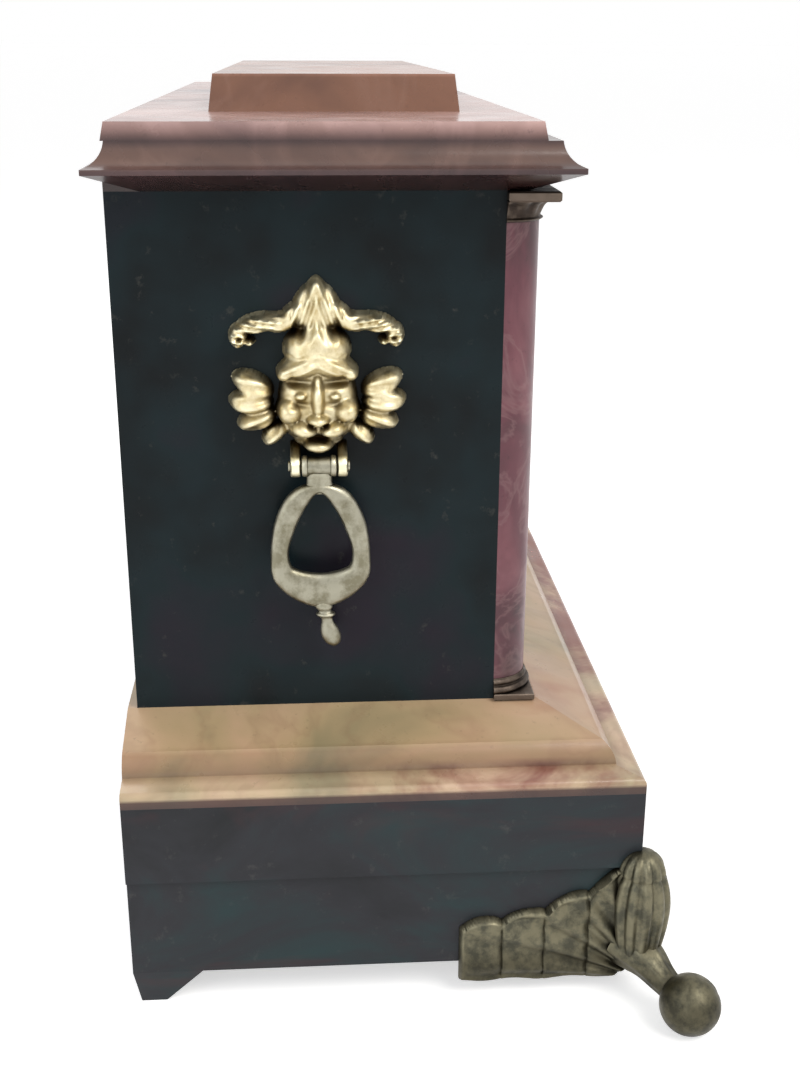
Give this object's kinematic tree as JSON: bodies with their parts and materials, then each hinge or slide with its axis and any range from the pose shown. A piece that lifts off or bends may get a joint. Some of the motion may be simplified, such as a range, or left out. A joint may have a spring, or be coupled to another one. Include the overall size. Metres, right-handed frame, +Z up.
{
  "type": "bracket clock",
  "caption": "Black mantel clock with engaged columns, lion masks with hanging rings, cast corner feet, a round dial under a hinged glass and a striking pendulum movement.",
  "frame": {"origin": "on the floor, in the middle of the clock's length and depth", "axes": "+X is the clock's right as seen from the front, +Y its back and +Z up"},
  "size_m": [0.455, 0.1835, 0.28],
  "materials": {
    "black_veneer": "gloss",
    "plain_wood": "matte",
    "tan_marbled": "satin",
    "brown_marbled": "satin",
    "red_marbled": "gloss",
    "antique_bronze": "satin",
    "gilt_brass": "satin",
    "movement_brass": "satin",
    "steel": "satin",
    "hand_steel": "satin",
    "dial_white": "satin",
    "glass": "gloss"
  },
  "bodies": {
    "case": {"base_front_board": "black_veneer", "base_back_board": "black_veneer", "base_side_boards": "black_veneer", "base_band": "black_veneer", "side_panel_left": "black_veneer", "side_panel_right": "black_veneer", "front_board": "black_veneer", "rear_feet": "black_veneer", "back_board": "plain_wood", "deck_board": "plain_wood", "top_board": "plain_wood", "deck_moulding": "tan_marbled", "cornice_moulding": "brown_marbled", "cornice_slab": "brown_marbled", "cap_block": "brown_marbled", "column_left_outer_shaft": "red_marbled", "column_left_inner_shaft": "red_marbled", "column_right_outer_shaft": "red_marbled", "column_right_inner_shaft": "red_marbled", "front_foot_left": "antique_bronze", "front_foot_right": "antique_bronze", "column_bases": "antique_bronze", "column_capitals": "antique_bronze", "lion_mask_left": "gilt_brass", "lion_mask_right": "gilt_brass", "ring_pins": "gilt_brass", "bezel_seat": "gilt_brass", "front_plate": "movement_brass", "rear_plate": "movement_brass", "pillars_and_posts": "movement_brass", "back_door_hinges": "movement_brass", "mainsprings": "steel", "gong": "steel", "dial_plate": "dial_white"},
    "ring_left": {"ring_handle_left": "gilt_brass"},
    "ring_right": {"ring_handle_right": "gilt_brass"},
    "bezel": {"bezel_ring": "gilt_brass", "bezel_glass": "glass"},
    "back_door": {"back_door": "plain_wood"},
    "minute": {"centre_wheel": "movement_brass", "minute_hand": "hand_steel"},
    "hour": {"hour_wheel": "movement_brass", "hour_hand": "hand_steel"},
    "minute_wheel": {"minute_wheel": "movement_brass"},
    "third": {"third_wheel": "movement_brass"},
    "escape": {"escape_wheel": "movement_brass"},
    "time_great": {"time_great_wheel": "movement_brass"},
    "time_winding": {"time_winding_arbor": "steel"},
    "time_click": {"time_click": "steel"},
    "strike_great": {"strike_great_wheel": "movement_brass"},
    "strike_winding": {"strike_winding_arbor": "steel"},
    "strike_click": {"strike_click": "steel"},
    "strike_second": {"strike_second_wheel": "movement_brass"},
    "strike_third": {"strike_third_wheel": "movement_brass"},
    "fly": {"fly": "movement_brass"},
    "anchor": {"anchor_and_crutch": "steel"},
    "pendulum": {"pendulum_rod": "steel", "pendulum_bob_and_nut": "movement_brass"},
    "hammer": {"hammer": "steel"}
  },
  "joints": [
    {"name": "ring_left_lift", "type": "hinge", "parent": "case", "child": "ring_left", "pos_m": [-0.1755, 0.02925, 0.172], "axis": [0, 1, 0], "range_deg": [0, 85]},
    {"name": "ring_right_lift", "type": "hinge", "parent": "case", "child": "ring_right", "pos_m": [0.1755, 0.02925, 0.172], "axis": [0, -1, 0], "range_deg": [0, 85]},
    {"name": "bezel_open", "type": "hinge", "parent": "case", "child": "bezel", "pos_m": [0.0762, -0.02945, 0.1715], "axis": [0, 0, 1], "range_deg": [0, 100]},
    {"name": "back_door_open", "type": "hinge", "parent": "case", "child": "back_door", "pos_m": [0.062, 0.08975, 0.168], "axis": [0, 0, -1], "range_deg": [0, 110]},
    {"name": "minute_spin", "type": "hinge", "parent": "case", "child": "minute", "pos_m": [0, -0.00825, 0.1715], "axis": [0, 1, 0], "continuous": true},
    {"name": "hour_spin", "type": "hinge", "parent": "case", "child": "hour", "pos_m": [0, -0.00825, 0.1715], "axis": [0, 1, 0], "continuous": true},
    {"name": "minute_wheel_spin", "type": "hinge", "parent": "case", "child": "minute_wheel", "pos_m": [0, -0.00825, 0.1595], "axis": [0, 1, 0], "continuous": true},
    {"name": "third_spin", "type": "hinge", "parent": "case", "child": "third", "pos_m": [0.0115, -0.00825, 0.19142], "axis": [0, 1, 0], "continuous": true},
    {"name": "escape_spin", "type": "hinge", "parent": "case", "child": "escape", "pos_m": [0, -0.00825, 0.20754], "axis": [0, 1, 0], "continuous": true},
    {"name": "time_great_spin", "type": "hinge", "parent": "case", "child": "time_great", "pos_m": [0.03119, -0.00825, 0.16349], "axis": [0, 1, 0], "continuous": true},
    {"name": "time_wind", "type": "hinge", "parent": "time_great", "child": "time_winding", "pos_m": [0.03119, -0.00825, 0.16349], "axis": [0, 1, 0], "continuous": true},
    {"name": "time_click_lift", "type": "hinge", "parent": "time_great", "child": "time_click", "pos_m": [0.03119, -0.00825, 0.18349], "axis": [0, 1, 0], "range_deg": [-15, 0]},
    {"name": "strike_second_spin", "type": "hinge", "parent": "case", "child": "strike_second", "pos_m": [-0.0256, -0.00825, 0.1952], "axis": [0, 1, 0], "continuous": true},
    {"name": "strike_great_spin", "type": "hinge", "parent": "case", "child": "strike_great", "pos_m": [-0.03119, -0.00825, 0.16349], "axis": [0, 1, 0], "continuous": true},
    {"name": "strike_wind", "type": "hinge", "parent": "strike_great", "child": "strike_winding", "pos_m": [-0.03119, -0.00825, 0.16349], "axis": [0, 1, 0], "continuous": true},
    {"name": "strike_click_lift", "type": "hinge", "parent": "strike_great", "child": "strike_click", "pos_m": [-0.03119, -0.00825, 0.18349], "axis": [0, 1, 0], "range_deg": [-15, 0]},
    {"name": "strike_third_spin", "type": "hinge", "parent": "case", "child": "strike_third", "pos_m": [-0.0356, -0.00825, 0.21252], "axis": [0, 1, 0], "continuous": true},
    {"name": "fly_spin", "type": "hinge", "parent": "case", "child": "fly", "pos_m": [-0.0275, -0.00825, 0.22655], "axis": [0, 1, 0], "continuous": true},
    {"name": "pendulum_swing", "type": "hinge", "parent": "case", "child": "pendulum", "pos_m": [0, 0.03975, 0.22754], "axis": [0, 1, 0], "range_deg": [-4, 4]},
    {"name": "anchor_rock", "type": "hinge", "parent": "case", "child": "anchor", "pos_m": [0, 0.03975, 0.22754], "axis": [0, 1, 0], "range_deg": [-4, 4]},
    {"name": "hammer_swing", "type": "hinge", "parent": "case", "child": "hammer", "pos_m": [-0.05, 0.04775, 0.1915], "axis": [0, 1, 0], "range_deg": [-15, 5]}
  ],
  "couplings": [
    {"joint": "hour_spin", "follows": "minute_spin", "ratio": 0.083333},
    {"joint": "minute_wheel_spin", "follows": "minute_spin", "ratio": -0.33333},
    {"joint": "third_spin", "follows": "minute_spin", "ratio": -10.5},
    {"joint": "escape_spin", "follows": "minute_spin", "ratio": 105},
    {"joint": "time_great_spin", "follows": "minute_spin", "ratio": -0.095238},
    {"joint": "strike_great_spin", "follows": "strike_second_spin", "ratio": -0.095238},
    {"joint": "strike_third_spin", "follows": "strike_second_spin", "ratio": -9},
    {"joint": "fly_spin", "follows": "strike_second_spin", "ratio": 72},
    {"joint": "anchor_rock", "follows": "pendulum_swing", "ratio": 1}
  ]
}
